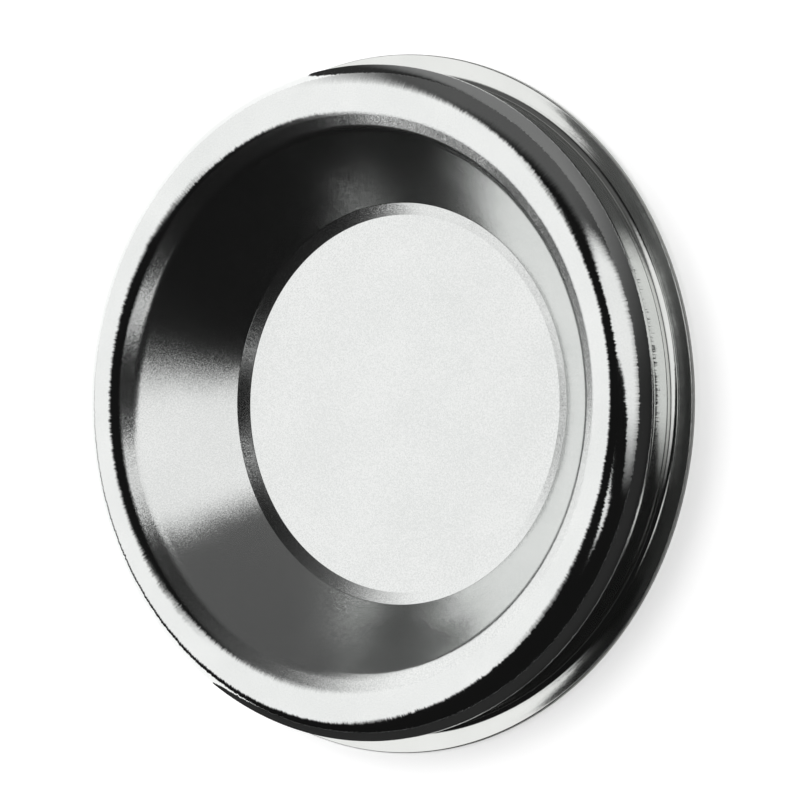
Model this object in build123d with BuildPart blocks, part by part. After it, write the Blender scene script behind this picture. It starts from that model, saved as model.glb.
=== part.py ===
from build123d import *
import os
from math import acos, cos, degrees, radians, sin, tan

# A round parts tray, dish side up. The Z axis is the tray's axis and z = 0 is the surface it stands on.
# All sizes are in millimetres and all angles in degrees.

# Wall and nose of the pressed dish
sheet = 0.8              # steel of the dish
waist_radius = 46.55     # outside of the wall where it is narrowest, under the nose
wall_draft = 4.0         # the wall widens downwards by this angle
wall_height = 2.83       # from the collar up to the waist
neck_bend = 0.8          # bend where the wall runs out into the nose
nose_overhang = 1.7      # how far the nose stands out over the waist
nose_bend = 4.32         # outer radius of the rolled nose

# Inside of the dish
crest_width = 0.45       # level strip on top of the nose
land_bend = 5.6          # bend from the crest down to the land
land_angle = 27.0        # slope of the land
land_width = 1.42        # straight part of the land
crease_bend = 4.4        # bend from the land to the cone, on the upper side
cone_angle = 46.0        # slope of the cone
heel_angle = 23.0        # slope of the narrow heel between the floor and the cone
heel_height = 0.75       # from the floor up to the top of the heel
heel_round = 0.25        # bends at both edges of the heel, on the upper side
floor_lift = 0.28        # upper side of the floor above the underside of the flange

# Skirt of the dish, inside the collar
swage_angle = 45.0       # slope of the shoulder above the skirt
swage_round = 0.2        # bends of that shoulder
skirt_gap = 0.2          # skirt edge above the underside of the flange

# Base ring: a flange with a short collar, pressed on the skirt
flange_width = 3.45      # how far the flange stands out from the waist
flange_thickness = 0.9
collar_wall = 0.8        # at the top of the collar
collar_reach = 1.35      # collar above the flange
collar_round = 0.1       # top edge of the collar
foot_fillet = 1.15       # between collar and flange
rim_round = 0.15         # outer edges of the flange
seam_gap = 0.06          # between the collar and the dish's shoulder

# Closing plate under the channel
cover_sheet = 0.8
cover_gap = 0.3          # to the underside of the cone
cover_rim = 4.3          # between the skirt and the groove
cover_round = 0.3        # bends of the pressed groove
groove_width = 6.0
groove_depth = 0.4

# Anti-slip ring
foot_height = 0.8        # how far it lifts the flange
foot_gap = 0.2           # to the sides of the groove
foot_round = 0.3         # lower edges of the ring

# Magnet and its keeper
keeper_thickness = 1.0
magnet_height = 4.5
magnet_gap = 0.3         # to the underside of the cone
magnet_side_gap = 2.0    # to the inside of the skirt
magnet_chamfer = 0.4

# Heights, from the surface up
flange_under = foot_height
flange_top = flange_under + flange_thickness
collar_top = flange_top + collar_reach
waist_height = collar_top + wall_height
cover_top = flange_under + cover_sheet
land_top = cover_top + groove_depth
keeper_top = land_top + keeper_thickness
magnet_top = keeper_top + magnet_height
floor_top = flange_under + floor_lift

draft = radians(wall_draft)
swage = radians(swage_angle)


def wall_at(height):
    """Outside radius of the wall and the collar at a height under the waist."""
    drop = waist_height - neck_bend * sin(draft) - height
    return waist_radius + neck_bend * (1 - cos(draft)) + drop * tan(draft)


# Radii of the base ring and the skirt
flange_radius = waist_radius + flange_width
skirt_radius = wall_at(collar_top) - collar_wall
skirt_bore = skirt_radius - sheet
collar_drop = collar_wall / tan(swage)

# The nose: the neck leans out by this angle before the nose takes over
neck_angle = acos(1 - nose_overhang / (nose_bend + neck_bend))
crest_radius = waist_radius + nose_overhang - nose_bend
nose_height = waist_height + (nose_bend + neck_bend) * sin(neck_angle)
crest_height = nose_height + nose_bend

# The land falls from the crest to the crease bend, and the cone starts at the foot of that bend
fall = radians(land_angle)
slope = radians(cone_angle)
land_head_radius = crest_radius - crest_width - land_bend * sin(fall)
land_head_height = crest_height - land_bend * (1 - cos(fall))
land_foot_radius = land_head_radius - land_width * cos(fall)
land_foot_height = land_head_height - land_width * sin(fall)
cone_top_radius = land_foot_radius - crease_bend * (sin(slope) - sin(fall))
cone_top_height = land_foot_height - crease_bend * (cos(fall) - cos(slope))

# The cone runs down to the heel, and the heel to the floor
heel = radians(heel_angle)
floor_radius = cone_top_radius - (cone_top_height - floor_top) / tan(slope)
heel_radius = floor_radius + heel_height / tan(slope)
floor_edge = heel_radius - heel_height / tan(heel)


def cone_underside(height):
    """Radius at which the underside of the cone reaches a height."""
    return floor_radius + (height - floor_top + sheet / cos(slope)) / tan(slope)


def into_sheet(corner, before, after, depth):
    """A corner of the upper side, between slopes before and after, moved depth down into the sheet."""
    reach = depth * tan((after - before) / 2)
    radius = corner[0] + depth * sin(before) + reach * cos(before)
    height = corner[1] - depth * cos(before) + reach * sin(before)
    return (radius, height)


def dish_side(depth):
    """One side of the dish's sheet, depth below its upper side, drawn from the axis to the skirt's edge."""
    inside = FilletPolyline(
        (0, floor_top - depth),
        into_sheet((floor_edge, floor_top), 0, heel, depth),
        into_sheet((heel_radius, floor_top + heel_height), heel, slope, depth),
        (cone_top_radius + depth * sin(slope), cone_top_height - depth * cos(slope)),
        radius=heel_round + depth,
    )
    crease = JernArc(inside @ 1, inside % 1, crease_bend - depth, land_angle - cone_angle)
    land_head = (land_head_radius + depth * sin(fall), land_head_height - depth * cos(fall))
    land_line = Line(crease @ 1, land_head)
    land = JernArc(land_line @ 1, land_line % 1, land_bend - depth, -land_angle)
    crest = Line(land @ 1, (crest_radius, crest_height - depth))
    nose = JernArc(crest @ 1, crest % 1, nose_bend - depth, -90 - degrees(neck_angle))
    neck = JernArc(nose @ 1, nose % 1, neck_bend + depth, degrees(neck_angle) + wall_draft)

    # Each corner of the shoulder moves along its bisector, so that the sheet keeps its thickness
    shoulder_top = collar_top + seam_gap / sin(swage)
    shoulder_foot = shoulder_top - (wall_at(shoulder_top) - skirt_radius) / tan(swage)
    shift = depth / (1 + cos(draft + swage))
    shift_in = shift * (cos(draft) + cos(swage))
    shift_up = shift * (sin(swage) - sin(draft))
    FilletPolyline(
        neck @ 1,
        (wall_at(shoulder_top) - shift_in, shoulder_top + shift_up),
        (skirt_radius - depth, shoulder_foot + depth * tan(swage / 2)),
        (skirt_radius - depth, flange_under + skirt_gap),
        radius=swage_round,
    )


os.makedirs("parts", exist_ok=True)

# The dish: floor, cone, rolled nose, wall and skirt in one sheet
with BuildPart() as tray_shell:
    with BuildSketch(Plane.XZ):
        with BuildLine():
            dish_side(0)
            dish_side(sheet)
            Line((0, floor_top), (0, floor_top - sheet))
            Line((skirt_radius, flange_under + skirt_gap), (skirt_bore, flange_under + skirt_gap))
        make_face()
    revolve(axis=Axis.Z)

# The base ring: its collar grips the dish's skirt below the shoulder
with BuildPart() as base_ring:
    with BuildSketch(Plane.XZ) as ring_section:
        with BuildLine():
            Polyline(
                (skirt_radius, flange_under),
                (flange_radius, flange_under),
                (flange_radius, flange_top),
                (wall_at(flange_top), flange_top),
                (wall_at(collar_top), collar_top),
                (skirt_radius, collar_top - collar_drop),
                close=True,
            )
        make_face()
        corners = ring_section.vertices()
        rim_corners = corners.group_by(Axis.X)[-1]
        collar_corner = corners.group_by(Axis.Y)[-1]
        foot_corner = corners.group_by(Axis.X)[-2]
        flange_room = flange_radius - wall_at(flange_top) - rim_round
        collar_room = collar_reach - collar_round
        fillet(foot_corner, min(foot_fillet, 0.9 * flange_room, 0.9 * collar_room))
        fillet(rim_corners, rim_round)
        fillet(collar_corner, collar_round)
    revolve(axis=Axis.Z)

# The closing plate: an annular pressing whose rim is a press fit in the skirt
cover_inner_radius = cone_underside(cover_top) + cover_gap
groove_outer_radius = skirt_bore - cover_rim
groove_inner_radius = groove_outer_radius - groove_width


def cover_side(depth):
    """One side of the closing plate, depth below its upper side, from its inner rim to its outer rim."""
    FilletPolyline(
        (cover_inner_radius, cover_top - depth),
        (groove_inner_radius - cover_sheet + depth, cover_top - depth),
        (groove_inner_radius - cover_sheet + depth, land_top - depth),
        (groove_outer_radius + cover_sheet - depth, land_top - depth),
        (groove_outer_radius + cover_sheet - depth, cover_top - depth),
        (skirt_bore, cover_top - depth),
        radius=min(cover_round, 0.45 * groove_depth),
    )


with BuildPart() as bottom_cover:
    with BuildSketch(Plane.XZ):
        with BuildLine():
            cover_side(0)
            cover_side(cover_sheet)
            Line((cover_inner_radius, cover_top), (cover_inner_radius, flange_under))
            Line((skirt_bore, cover_top), (skirt_bore, flange_under))
        make_face()
    revolve(axis=Axis.Z)

# The anti-slip ring: rubber, bonded in the groove, standing proud of the flange
with BuildPart() as anti_slip_ring:
    with BuildSketch(Plane.XY):
        Circle(groove_outer_radius - foot_gap)
        Circle(groove_inner_radius + foot_gap, mode=Mode.SUBTRACT)
    extrude(amount=foot_height + groove_depth)
    fillet(anti_slip_ring.edges().group_by(Axis.Z)[0], foot_round)

# The magnet ring, under the cone, on its keeper
magnet_inner_radius = cone_underside(magnet_top) + magnet_gap
magnet_outer_radius = skirt_bore - magnet_side_gap

with BuildPart() as keeper_ring:
    with BuildSketch(Plane.XY.offset(land_top)):
        Circle(magnet_outer_radius)
        Circle(magnet_inner_radius, mode=Mode.SUBTRACT)
    extrude(amount=keeper_thickness)

with BuildPart() as ring_magnet:
    with BuildSketch(Plane.XY.offset(keeper_top)):
        Circle(magnet_outer_radius)
        Circle(magnet_inner_radius, mode=Mode.SUBTRACT)
    extrude(amount=magnet_height)
    chamfer(ring_magnet.edges().filter_by(GeomType.CIRCLE), magnet_chamfer)

tray_shell.part.label = "tray_shell"
base_ring.part.label = "base_ring"
bottom_cover.part.label = "bottom_cover"
anti_slip_ring.part.label = "anti_slip_ring"
keeper_ring.part.label = "keeper_ring"
ring_magnet.part.label = "ring_magnet"

for piece in (tray_shell, base_ring, bottom_cover, anti_slip_ring, keeper_ring, ring_magnet):
    export_step(piece.part, f"parts/{piece.part.label}.step")
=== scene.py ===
from math import acos, atan2, cos, pi, radians, sin, tan

import bpy
from mathutils import Matrix, Vector


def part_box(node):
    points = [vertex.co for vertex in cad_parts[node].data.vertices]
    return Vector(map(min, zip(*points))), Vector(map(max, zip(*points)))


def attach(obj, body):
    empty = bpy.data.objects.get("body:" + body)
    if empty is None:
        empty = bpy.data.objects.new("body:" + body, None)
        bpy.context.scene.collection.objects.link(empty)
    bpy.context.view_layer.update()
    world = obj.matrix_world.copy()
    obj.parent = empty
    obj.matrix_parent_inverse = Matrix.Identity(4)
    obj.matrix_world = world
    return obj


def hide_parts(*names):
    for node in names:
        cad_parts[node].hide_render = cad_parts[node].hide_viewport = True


# A round parts tray of bright plated steel, dish side up, standing on its anti-slip ring.
# Everything is in metres in the CAD frame: the Z axis is the tray's axis, z = 0 is the floor.

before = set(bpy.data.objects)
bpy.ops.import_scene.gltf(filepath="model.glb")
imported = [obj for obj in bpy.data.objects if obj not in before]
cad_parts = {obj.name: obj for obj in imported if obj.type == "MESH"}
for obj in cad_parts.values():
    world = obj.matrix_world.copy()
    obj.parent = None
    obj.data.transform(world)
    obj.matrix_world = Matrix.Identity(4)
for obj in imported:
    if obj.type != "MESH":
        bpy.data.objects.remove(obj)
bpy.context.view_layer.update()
mm = 0.001

# The dish: the same sizes as the part's source
sheet = 0.8 * mm
waist_radius = 46.55 * mm
wall_draft = radians(4)
wall_height = 2.83 * mm
neck_bend = 0.8 * mm
nose_overhang = 1.7 * mm
nose_bend = 4.32 * mm
crest_width = 0.45 * mm
land_bend = 5.6 * mm
land_angle = radians(27)
land_width = 1.42 * mm
crease_bend = 4.4 * mm
cone_angle = radians(46)
heel_angle = radians(23)
heel_height = 0.75 * mm
heel_round = 0.25 * mm
floor_lift = 0.28 * mm
swage = radians(45)
swage_round = 0.2 * mm
skirt_gap = 0.2 * mm

# The base ring
collar_wall = 0.8 * mm
collar_reach = 1.35 * mm
collar_round = 0.1 * mm
foot_fillet = 1.15 * mm
rim_round = 0.15 * mm
seam_gap = 0.06 * mm

# Heights and radii that follow from them and from the frame
ring_low, ring_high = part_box("base_ring")
flange_under = ring_low.z
flange_radius = ring_high.x
collar_top = ring_high.z
flange_top = collar_top - collar_reach
floor_top = flange_under + floor_lift
waist_height = collar_top + wall_height


def wall_at(height):
    """Outside radius of the wall and the collar at a height under the waist."""
    drop = waist_height - neck_bend * sin(wall_draft) - height
    return waist_radius + neck_bend * (1 - cos(wall_draft)) + drop * tan(wall_draft)


skirt_radius = wall_at(collar_top) - collar_wall
neck_angle = acos(1 - nose_overhang / (nose_bend + neck_bend))
crest_radius = waist_radius + nose_overhang - nose_bend
nose_height = waist_height + (nose_bend + neck_bend) * sin(neck_angle)
crest_height = nose_height + nose_bend
crest_edge = crest_radius - crest_width

# The land's ends, and the centre of the crease's bend, as (radius, height)
land_head = (crest_edge - land_bend * sin(land_angle), crest_height - land_bend * (1 - cos(land_angle)))
land_foot = (land_head[0] - land_width * cos(land_angle), land_head[1] - land_width * sin(land_angle))
crease = (land_foot[0] + crease_bend * sin(land_angle), land_foot[1] - crease_bend * cos(land_angle))

cone_top_radius = crease[0] - crease_bend * sin(cone_angle)
cone_top_height = crease[1] + crease_bend * cos(cone_angle)
floor_radius = cone_top_radius - (cone_top_height - floor_top) / tan(cone_angle)
heel_radius = floor_radius + heel_height / tan(cone_angle)
floor_edge = heel_radius - heel_height / tan(heel_angle)

TURNS = 480              # segments round the axis
CORNER_STEPS = 8         # segments in a rounded corner


# ---------------------------------------------------------------- outlines

def straight(start, end):
    """A straight stretch, with a ring close to each end so that its shading stays flat."""
    return [tuple(a + (b - a) * t for a, b in zip(start, end)) for t in (0, 0.01, 0.25, 0.5, 0.75, 0.99, 1)]


def arc(centre, radius, start, end, steps):
    """A round stretch about a centre, between two angles in radians."""
    angles = [start + (end - start) * i / steps for i in range(steps + 1)]
    return [(centre[0] + radius * cos(a), centre[1] + radius * sin(a)) for a in angles]


def rounded(corners):
    """A line through corners (radius, height, rounding), with each inner corner rounded."""
    points = [corners[0][:2]]
    for before, corner, after in zip(corners, corners[1:], corners[2:]):
        here = Vector(corner[:2])
        back = (Vector(before[:2]) - here).normalized()
        on = (Vector(after[:2]) - here).normalized()
        half = back.angle(on) / 2
        middle = here + (back + on).normalized() * (corner[2] / sin(half))
        first = here + back * (corner[2] / tan(half))
        last = here + on * (corner[2] / tan(half))
        start = atan2(first.y - middle.y, first.x - middle.x)
        sweep = (atan2(last.y - middle.y, last.x - middle.x) - start + pi) % (2 * pi) - pi
        points += straight(points[-1], first)[1:-1]
        points += arc(middle, corner[2], start, start + sweep, CORNER_STEPS)
    return points + straight(points[-1], corners[-1][:2])[1:]


def into_sheet(corner, before, after, depth):
    """A corner of the upper side, between slopes before and after, moved depth down into the sheet."""
    reach = depth * tan((after - before) / 2)
    radius = corner[0] + depth * sin(before) + reach * cos(before)
    height = corner[1] - depth * cos(before) + reach * sin(before)
    return (radius, height)


def dish_side(depth):
    """One side of the dish's sheet, depth below its upper side, from the axis to the skirt's edge."""
    land = (crest_edge, crest_height - land_bend)
    nose = (crest_radius, nose_height)
    neck = (waist_radius + neck_bend, waist_height)
    heel_top = (heel_radius, floor_top + heel_height)
    points = rounded([
        (0, floor_top - depth, 0),
        (*into_sheet((floor_edge, floor_top), 0, heel_angle, depth), heel_round + depth),
        (*into_sheet(heel_top, heel_angle, cone_angle, depth), heel_round + depth),
        (cone_top_radius + depth * sin(cone_angle), cone_top_height - depth * cos(cone_angle), 0),
    ])
    crease_arc = arc(crease, crease_bend - depth, pi / 2 + cone_angle, pi / 2 + land_angle, 24)
    land_arc = arc(land, land_bend - depth, pi / 2 + land_angle, pi / 2, 40)
    nose_arc = arc(nose, nose_bend - depth, pi / 2, -neck_angle, 90)
    points += crease_arc[1:]
    for stretch in (land_arc, nose_arc):
        points += straight(points[-1], stretch[0])[1:-1] + stretch
    points += arc(neck, neck_bend + depth, pi - neck_angle, pi + wall_draft, 24)[1:]

    # Each corner of the shoulder moves along its bisector, so that the sheet keeps its thickness
    shoulder_top = collar_top + seam_gap / sin(swage)
    shoulder_foot = shoulder_top - (wall_at(shoulder_top) - skirt_radius) / tan(swage)
    shift = depth / (1 + cos(wall_draft + swage))
    shift_in = shift * (cos(wall_draft) + cos(swage))
    shift_up = shift * (sin(swage) - sin(wall_draft))
    points += rounded([
        (*points[-1], 0),
        (wall_at(shoulder_top) - shift_in, shoulder_top + shift_up, swage_round),
        (skirt_radius - depth, shoulder_foot + depth * tan(swage / 2), swage_round),
        (skirt_radius - depth, flange_under + skirt_gap, 0),
    ])[1:]
    return points


def ring_outline():
    """The base ring's section, from the foot of its bore round to the foot again."""
    bore_foot = (skirt_radius, flange_under)
    bore_head = (skirt_radius, collar_top - collar_wall / tan(swage))
    skin = rounded([
        (*bore_foot, 0),
        (flange_radius, flange_under, rim_round),
        (flange_radius, flange_top, rim_round),
        (wall_at(flange_top), flange_top, foot_fillet),
        (wall_at(collar_top), collar_top, collar_round),
        (*bore_head, 0),
    ])
    return (skin + straight(bore_head, bore_foot)[1:-1])[::-1]


def lathe(name, outline, closed_at_axis):
    """Turns an outline round the Z axis into one closed skin."""
    mesh = bpy.data.meshes.new(name)
    rings = []
    verts = []
    for radius, height in outline:
        if radius < 1e-9:
            rings.append([len(verts)] * TURNS)
            verts.append((0, 0, height))
        else:
            rings.append(list(range(len(verts), len(verts) + TURNS)))
            turn = [2 * pi * i / TURNS for i in range(TURNS)]
            verts += [(radius * cos(a), radius * sin(a), height) for a in turn]
    pairs = list(zip(rings, rings[1:]))
    if not closed_at_axis:
        pairs.append((rings[-1], rings[0]))
    faces = []
    for low, high in pairs:
        for i in range(TURNS):
            j = (i + 1) % TURNS
            corners = [low[i], high[i], high[j], low[j]]
            faces.append(list(dict.fromkeys(corners)))
    mesh.from_pydata(verts, [], faces)
    mesh.validate()
    mesh.shade_smooth()
    mesh.set_sharp_from_angle(angle=radians(30))
    piece = bpy.data.objects.new(name, mesh)
    bpy.context.scene.collection.objects.link(piece)
    return piece


# ---------------------------------------------------------------- node helper

class Nodes:
    """Short calls for making and linking shader nodes. Each gives the socket that carries its result."""

    def __init__(self, tree):
        self.tree = tree
        tree.nodes.clear()

    def add(self, kind, inputs=None, **settings):
        node = self.tree.nodes.new(kind)
        for key, value in settings.items():
            setattr(node, key, value)
        for key, value in (inputs or {}).items():
            if isinstance(value, bpy.types.NodeSocket):
                self.tree.links.new(value, node.inputs[key])
            else:
                node.inputs[key].default_value = value
        return node

    def math(self, operation, *values):
        return self.add("ShaderNodeMath", dict(enumerate(values)), operation=operation).outputs[0]

    def vector(self, operation, *values):
        node = self.add("ShaderNodeVectorMath", dict(enumerate(values)), operation=operation)
        return node.outputs["Value" if operation in ("LENGTH", "DOT_PRODUCT") else "Vector"]

    def scale(self, vector, amount):
        node = self.add("ShaderNodeVectorMath", {"Vector": vector, "Scale": amount}, operation="SCALE")
        return node.outputs["Vector"]

    def step(self, value, start, end, low=0.0, high=1.0):
        """A smooth change from low to high while value goes from start to end."""
        inputs = {"Value": value, "From Min": start, "From Max": end, "To Min": low, "To Max": high}
        return self.add("ShaderNodeMapRange", inputs, interpolation_type="SMOOTHSTEP").outputs[0]

    def total(self, *values):
        result = values[0]
        for value in values[1:]:
            result = self.math("ADD", result, value)
        return result

    def product(self, *values):
        result = values[0]
        for value in values[1:]:
            result = self.math("MULTIPLY", result, value)
        return result

    def mix(self, share, first, second):
        """A number between first and second. The Mix node's sockets 2 and 3 take numbers."""
        return self.add("ShaderNodeMix", {0: share, 2: first, 3: second}).outputs[0]

    def tint(self, share, first, second):
        """A colour between first and second. The Mix node's sockets 6 and 7 take colours."""
        inputs = {0: share, 6: first, 7: second}
        return self.add("ShaderNodeMix", inputs, data_type="RGBA").outputs[2]


class Finish(Nodes):
    """A material whose pattern follows the turned shape of the part."""

    def __init__(self, name):
        self.material = bpy.data.materials.new(name)
        self.material.use_nodes = True
        super().__init__(self.material.node_tree)
        place = self.add("ShaderNodeTexCoord").outputs["Object"]
        x, y, self.height = self.add("ShaderNodeSeparateXYZ", {0: place}).outputs
        from_axis = self.add("ShaderNodeCombineXYZ", {0: x, 1: y}).outputs[0]
        crosswise = self.add("ShaderNodeCombineXYZ", {0: self.math("MULTIPLY", y, -1.0), 1: x}).outputs[0]
        self.place = place
        self.radius = self.vector("LENGTH", from_axis)
        self.outward = self.vector("NORMALIZE", from_axis)
        self.around = self.vector("NORMALIZE", crosswise)
        self.normal = self.add("ShaderNodeNewGeometry").outputs["Normal"]
        self.meridian = self.vector("CROSS_PRODUCT", self.normal, self.around)

    def noise(self, size, detail=2.0, shift=0.0):
        """Even noise with features of one size, from -1 to 1 around 0."""
        moved = self.vector("ADD", self.place, (shift, shift, shift))
        inputs = {"Vector": moved, "Scale": 1 / size, "Detail": detail, "Roughness": 0.6}
        fac = self.add("ShaderNodeTexNoise", inputs).outputs[0]
        return self.math("MULTIPLY_ADD", fac, 2.0, -1.0)

    def turned(self, across, along, detail=1.0):
        """Noise that follows the turning: across is its size round the axis, along its size up the side."""
        spread = self.scale(self.outward, waist_radius / across)
        lift = self.add("ShaderNodeCombineXYZ", {2: self.math("DIVIDE", self.height, along)}).outputs[0]
        inputs = {
            "Vector": self.vector("ADD", spread, lift),
            "W": self.math("DIVIDE", self.radius, along),
            "Scale": 1.0,
            "Detail": detail,
        }
        fac = self.add("ShaderNodeTexNoise", inputs, noise_dimensions="4D").outputs[0]
        return self.math("MULTIPLY_ADD", fac, 2.0, -1.0)

    def tilted(self, up, across, grain, grain_size):
        """The normal, tilted up the section, round the axis, and every way at once by a fine grain. Tilting
        it up leans it towards the axis on a level face."""
        normal = self.normal
        if up is not None:
            normal = self.vector("ADD", normal, self.scale(self.meridian, up))
        if across is not None:
            normal = self.vector("ADD", normal, self.scale(self.around, across))
        inputs = {"Vector": self.place, "Scale": 1 / grain_size, "Detail": 2.0}
        colour = self.add("ShaderNodeTexNoise", inputs).outputs[1]
        centred = self.vector("SUBTRACT", colour, (0.5, 0.5, 0.5))
        normal = self.vector("ADD", normal, self.scale(centred, grain))
        return self.vector("NORMALIZE", normal)

    def metal(self, colour, roughness, normal):
        inputs = {"Base Color": colour, "Metallic": 1.0, "Roughness": roughness, "Normal": normal}
        return self.close(inputs)

    def close(self, inputs):
        shader = self.add("ShaderNodeBsdfPrincipled", inputs).outputs[0]
        self.add("ShaderNodeOutputMaterial", {"Surface": shader})
        return self.material


# ---------------------------------------------------------------- finishes

def pressed_steel():
    """The dish: satin floor and cone, a polished nose with fine hair marks, drawn lines on the wall."""
    f = Finish("pressed_plated_steel")
    floor = f.step(f.radius, floor_edge - 0.2 * mm, floor_edge + 1.2 * mm, 1.0, 0.0)
    nose = f.step(f.radius, land_head[0] + 0.3 * mm, land_head[0] + 0.6 * mm)
    outside = f.step(f.radius, crest_radius - 0.5 * mm, crest_radius + 0.5 * mm)
    flank = f.product(outside, f.step(f.height, crest_height - 1.2 * mm, crest_height - 3.2 * mm))

    hair = f.turned(0.2 * mm, 2.0 * mm, detail=2.0)
    lines = f.turned(9.0 * mm, 0.38 * mm, detail=2.0)
    swell = f.noise(11 * mm, detail=1.0)
    up = f.total(
        f.product(hair, f.mix(nose, 0.02, 0.1)),
        f.product(lines, flank, 0.04),
        f.product(swell, 0.02),
    )
    across = f.product(f.noise(9 * mm, detail=1.0, shift=1.0), 0.02)
    grain = f.mix(nose, f.mix(floor, 0.13, 0.06), 0.05)
    normal = f.tilted(up, across, grain, grain_size=0.18 * mm)

    cloud = f.noise(14 * mm, detail=3.0, shift=2.0)
    roughness = f.mix(nose, f.mix(floor, 0.17, 0.19), 0.07)
    roughness = f.total(roughness, f.product(flank, 0.05), f.product(cloud, 0.02))
    speck = f.step(f.noise(0.5 * mm, detail=3.0, shift=3.0), 0.42, 0.62)
    dust = f.product(f.noise(0.2 * mm, detail=1.0, shift=4.0), f.mix(nose, 1.6, 0.5))
    tone = f.total(0.5, f.product(cloud, 0.6), f.product(speck, -0.8), dust)
    colour = f.tint(tone, (0.73, 0.745, 0.735, 1), (0.84, 0.85, 0.84, 1))
    return f.metal(colour, roughness, normal)


def ring_steel():
    """The base ring: bright rolled face and a sheared edge with break marks. The shading leans outwards
    on the face, most at the foot of the collar, as on a face that is a little hollow."""
    f = Finish("flange_plated_steel")
    edge = f.step(f.radius, flange_radius - 0.12 * mm, flange_radius - 0.02 * mm)
    collar = f.step(f.height, flange_top + 0.1 * mm, flange_top + 0.5 * mm)
    breaks = f.turned(0.28 * mm, 3.0 * mm, detail=3.0)
    lines = f.turned(12.0 * mm, 0.3 * mm, detail=2.0)
    swell = f.noise(8 * mm, detail=1.0)
    lean_at_foot, lean_at_rim = -0.2, -0.05
    to_rim = f.step(f.radius, flange_radius - 2.2 * mm, flange_radius - 0.1 * mm)
    lean = f.product(
        f.step(f.radius, flange_radius - 2.4 * mm, flange_radius - 2.0 * mm),
        f.mix(to_rim, lean_at_foot, lean_at_rim),
        f.math("SUBTRACT", 1.0, edge),
    )
    up = f.total(lean, f.product(lines, f.mix(collar, 0.01, 0.03)), f.product(swell, 0.015))
    across = f.product(breaks, f.mix(edge, 0.02, 0.6))
    normal = f.tilted(up, across, f.mix(edge, 0.05, 0.25), grain_size=0.2 * mm)
    cloud = f.noise(10 * mm, detail=3.0, shift=2.0)
    roughness = f.total(f.mix(edge, 0.12, 0.5), f.product(cloud, 0.03))
    speck = f.step(f.noise(0.45 * mm, detail=3.0, shift=3.0), 0.35, 0.6)
    tone = f.total(0.5, f.product(cloud, 0.5), f.product(speck, -1.0), f.product(edge, -0.3))
    colour = f.tint(tone, (0.70, 0.71, 0.69, 1), (0.83, 0.84, 0.82, 1))
    return f.metal(colour, roughness, normal)


def zinc_steel():
    """Cover and keeper: plain zinc-plated sheet, with a dull spangle and rolling lines."""
    f = Finish("zinc_plated_sheet")
    rolling = f.add("ShaderNodeMapping", {"Vector": f.place, "Scale": (40.0, 3000.0, 3000.0)}).outputs[0]
    lines = f.add("ShaderNodeTexNoise", {"Vector": rolling, "Scale": 1.0, "Detail": 3.0}).outputs[0]
    cloud = f.noise(4 * mm, detail=4.0)
    across = f.product(f.math("SUBTRACT", lines, 0.5), 0.12)
    normal = f.tilted(f.product(cloud, 0.02), across, 0.12, grain_size=0.3 * mm)
    roughness = f.total(0.34, f.product(cloud, 0.08), f.product(lines, 0.06))
    tone = f.total(0.5, f.product(cloud, 0.7))
    colour = f.tint(tone, (0.55, 0.57, 0.58, 1), (0.68, 0.70, 0.70, 1))
    return f.metal(colour, roughness, normal)


def ferrite():
    """The magnet: pressed and ground ceramic, nearly black."""
    f = Finish("ground_ferrite")
    cloud = f.noise(3 * mm, detail=5.0)
    pores = f.step(f.noise(0.35 * mm, detail=3.0, shift=1.0), 0.3, 0.6)
    tone = f.total(0.5, f.product(cloud, 0.6), f.product(pores, -0.6))
    colour = f.tint(tone, (0.035, 0.035, 0.038, 1), (0.085, 0.083, 0.083, 1))
    normal = f.tilted(None, f.product(f.turned(9 * mm, 0.2 * mm), 0.06), 0.15, grain_size=0.3 * mm)
    return f.close({
        "Base Color": colour,
        "Roughness": f.total(0.55, f.product(cloud, 0.1)),
        "Normal": normal,
    })


def rubber():
    """The anti-slip ring: matt moulded rubber, dusty in patches."""
    f = Finish("anti_slip_rubber")
    cloud = f.noise(5 * mm, detail=4.0)
    tone = f.total(0.5, f.product(cloud, 0.7))
    colour = f.tint(tone, (0.018, 0.018, 0.019, 1), (0.045, 0.045, 0.046, 1))
    normal = f.tilted(f.product(f.turned(6 * mm, 0.3 * mm), 0.05), None, 0.3, grain_size=0.22 * mm)
    return f.close({
        "Base Color": colour,
        "Roughness": f.total(0.72, f.product(cloud, 0.1)),
        "Specular IOR Level": 0.35,
        "Normal": normal,
    })


def dress(piece, material):
    piece.data.materials.clear()
    piece.data.materials.append(material)


# ---------------------------------------------------------------- the pieces

dish = lathe("pressed_dish", dish_side(0) + dish_side(sheet)[::-1], closed_at_axis=True)
flange = lathe("flanged_ring", ring_outline(), closed_at_axis=False)
for piece, node, material in (
    (dish, "tray_shell", pressed_steel()),
    (flange, "base_ring", ring_steel()),
):
    dress(piece, material)
    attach(piece, "root")
    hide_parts(node)

zinc = zinc_steel()
dress(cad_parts["bottom_cover"], zinc)
dress(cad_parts["keeper_ring"], zinc)
dress(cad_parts["ring_magnet"], ferrite())
dress(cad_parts["anti_slip_ring"], rubber())


# ---------------------------------------------------------------- floor, flag and light

def seen_by(nodes, *kinds):
    """1 for rays of these kinds from Light Path, such as "Is Camera Ray", and 0 for the others."""
    path = nodes.add("ShaderNodeLightPath")
    result = path.outputs[kinds[0]]
    for kind in kinds[1:]:
        result = nodes.math("MAXIMUM", result, path.outputs[kind])
    return result


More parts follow.
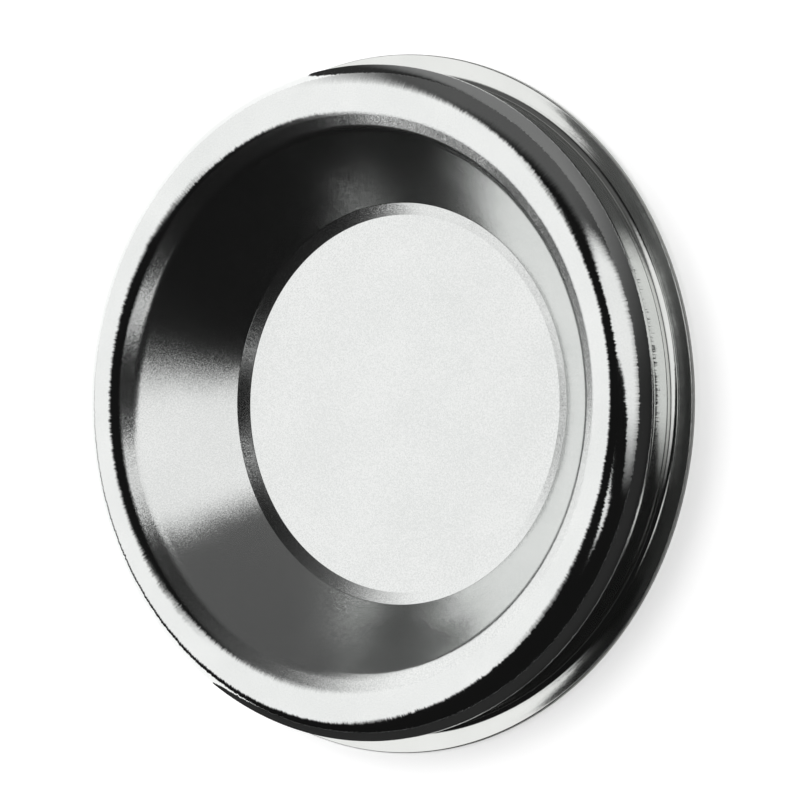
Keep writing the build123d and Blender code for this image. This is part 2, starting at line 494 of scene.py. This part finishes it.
def pale_floor():
    """A plain pale floor. It shows as white, and keeps the tray's shadow."""
    side = 15.0
    reflectance = 0.82
    glow_strength = 0.45
    mesh = bpy.data.meshes.new("floor")
    corners = [(-side, -side, 0), (side, -side, 0), (side, side, 0), (-side, side, 0)]
    mesh.from_pydata(corners, [], [(0, 1, 2, 3)])
    floor = bpy.data.objects.new("floor", mesh)
    bpy.context.scene.collection.objects.link(floor)
    material = bpy.data.materials.new("pale_floor")
    material.use_nodes = True
    n = Nodes(material.node_tree)
    paint = n.add("ShaderNodeBsdfDiffuse", {"Color": (reflectance, reflectance, reflectance, 1)}).outputs[0]
    lift = n.product(seen_by(n, "Is Camera Ray", "Is Glossy Ray", "Is Transmission Ray"), glow_strength)
    glow = n.add("ShaderNodeEmission", {"Color": (1, 1, 1, 1), "Strength": lift}).outputs[0]
    both = n.add("ShaderNodeAddShader", {0: paint, 1: glow}).outputs[0]
    n.add("ShaderNodeOutputMaterial", {"Surface": both})
    mesh.materials.append(material)


def black_flag():
    """A dark card just above the floor, open on the large softbox's side. It shows in reflections only."""
    near = flange_radius + 0.6 * mm
    far = 4.0
    card_height = 0.2 * mm
    right_edge = (radians(-129), radians(-143))     # at the tray and far away
    left_edge = (radians(109), radians(127))
    steps = 96
    verts = []
    for radius, start, end in ((near, right_edge[0], left_edge[0]), (far, right_edge[1], left_edge[1])):
        angles = [start + (end - start) * i / steps for i in range(steps + 1)]
        verts += [(radius * cos(a), radius * sin(a), card_height) for a in angles]
    faces = [(i, i + steps + 1, i + steps + 2, i + 1) for i in range(steps)]
    mesh = bpy.data.meshes.new("flag")
    mesh.from_pydata(verts, [], faces)
    flag = bpy.data.objects.new("flag", mesh)
    bpy.context.scene.collection.objects.link(flag)
    material = bpy.data.materials.new("dark_card")
    material.use_nodes = True
    n = Nodes(material.node_tree)
    place = n.add("ShaderNodeTexCoord").outputs["Object"]
    x, y, _ = n.add("ShaderNodeSeparateXYZ", {0: place}).outputs
    bearing = n.math("ARCTAN2", y, x)
    grey = n.product(
        n.step(bearing, radians(0), radians(60)),
        n.step(bearing, radians(86), radians(104), 1.0, 0.0),
    )
    colour = n.tint(grey, (0.035, 0.035, 0.035, 1), (0.26, 0.26, 0.26, 1))
    card = n.add("ShaderNodeBsdfDiffuse", {"Color": colour}).outputs[0]
    n.add("ShaderNodeOutputMaterial", {"Surface": card})
    mesh.materials.append(material)
    flag.visible_camera = False
    flag.visible_diffuse = False
    flag.visible_shadow = False
    flag.visible_transmission = False


def studio_world():
    """A dark studio with a large softbox on the -X side, one on the +X side, a small high patch and a
    faint fill. The camera sees plain white in its place."""
    room = 0.008
    world = bpy.data.worlds.new("studio")
    world.use_nodes = True
    bpy.context.scene.world = world
    n = Nodes(world.node_tree)
    direction = n.vector("NORMALIZE", n.add("ShaderNodeTexCoord").outputs["Generated"])
    elevation = n.math("ARCSINE", n.add("ShaderNodeSeparateXYZ", {0: direction}).outputs[2])

    def softbox(centre, strength, right, left, low, high, above=None, below=None):
        """A soft-edged patch, seen from the tray. Each edge is (place, softness) in degrees: right and left
        round from the centre, low and high in elevation. above and below are sloping edges (slant, place,
        softness), which climb by slant to the left from their place at the centre."""
        a = radians(centre)
        ahead = n.vector("DOT_PRODUCT", direction, (cos(a), sin(a), 0))
        beside = n.vector("DOT_PRODUCT", direction, (-sin(a), cos(a), 0))
        off = n.math("ARCTAN2", beside, ahead)

        def edge(value, place, softness, ends=(0.0, 1.0)):
            start, end = radians(place - softness), radians(place + softness)
            return n.step(value, start, end, *ends)

        def sloping(slant, place, softness, ends=(0.0, 1.0)):
            return edge(n.math("MULTIPLY_ADD", off, -slant, elevation), place, softness, ends)

        sides = [
            edge(off, *right),
            edge(off, *left, ends=(1.0, 0.0)),
            edge(elevation, *low),
            edge(elevation, *high, ends=(1.0, 0.0)),
        ]
        if above:
            sides.append(sloping(*above))
        if below:
            sides.append(sloping(*below, ends=(1.0, 0.0)))
        return n.product(*sides, strength)

    light = n.total(
        softbox(
            170, 1.05, right=(-42, 12), left=(57, 5), low=(-80, 5), high=(66, 5),
            above=(0.58, -3.6, 4),
        ),
        softbox(
            15, 0.97, right=(-27, 13), left=(50, 12), low=(2, 20), high=(73.5, 2.5),
            above=(2.6, -55, 20), below=(0.95, 64, 4),
        ),
        softbox(313, 0.9, right=(-9, 5), left=(9, 5), low=(58, 5), high=(76, 4)),
        softbox(82, 0.1, right=(-35, 20), left=(45, 20), low=(-35, 10), high=(50, 14)),
        room,
    )
    strength = n.mix(seen_by(n, "Is Camera Ray"), light, 1.0)
    background = n.add("ShaderNodeBackground", {"Color": (1, 1, 1, 1), "Strength": strength}).outputs[0]
    n.add("ShaderNodeOutputWorld", {"Surface": background})


def key_lamp():
    """A large soft lamp for the floor and the matt pieces. It doesn't show in the metal."""
    lamp = bpy.data.lights.new("key", "AREA")
    lamp.shape = "DISK"
    lamp.size = 1.2
    lamp.energy = 15
    key = bpy.data.objects.new("key", lamp)
    key.location = (-0.5, 0.35, 1.5)
    key.rotation_mode = "QUATERNION"
    key.rotation_quaternion = (-key.location).to_track_quat("-Z", "Y")
    key.visible_glossy = False
    key.visible_camera = False
    bpy.context.scene.collection.objects.link(key)


def photo_camera():
    """A long lens that looks at the tray from above the +X side."""
    tilt = radians(35.04)                        # of the tray's axis away from the camera's
    lean = radians(0.8)                          # of the tray's axis, sideways in the picture
    distance = 1.591
    aim = Vector((-0.63 * mm, 0.52 * mm, 0))     # of the picture's centre, beside the tray's foot
    axis = Vector((-sin(tilt) * cos(lean), sin(lean), cos(tilt) * cos(lean)))
    across = Vector((0, 1, 0)).cross(axis).normalized()
    turn = Matrix((across, axis.cross(across), axis))
    lens = bpy.data.cameras.new("photo")
    lens.lens = 500
    lens.sensor_width = 36
    camera = bpy.data.objects.new("photo", lens)
    camera.matrix_world = Matrix.Translation(
        Vector((0, 0, flange_under)) + turn @ (aim + Vector((0, 0, distance)))
    ) @ turn.to_4x4()
    bpy.context.scene.collection.objects.link(camera)
    bpy.context.scene.camera = camera


pale_floor()
black_flag()
studio_world()
key_lamp()
photo_camera()
bpy.context.scene.view_settings.view_transform = "Standard"
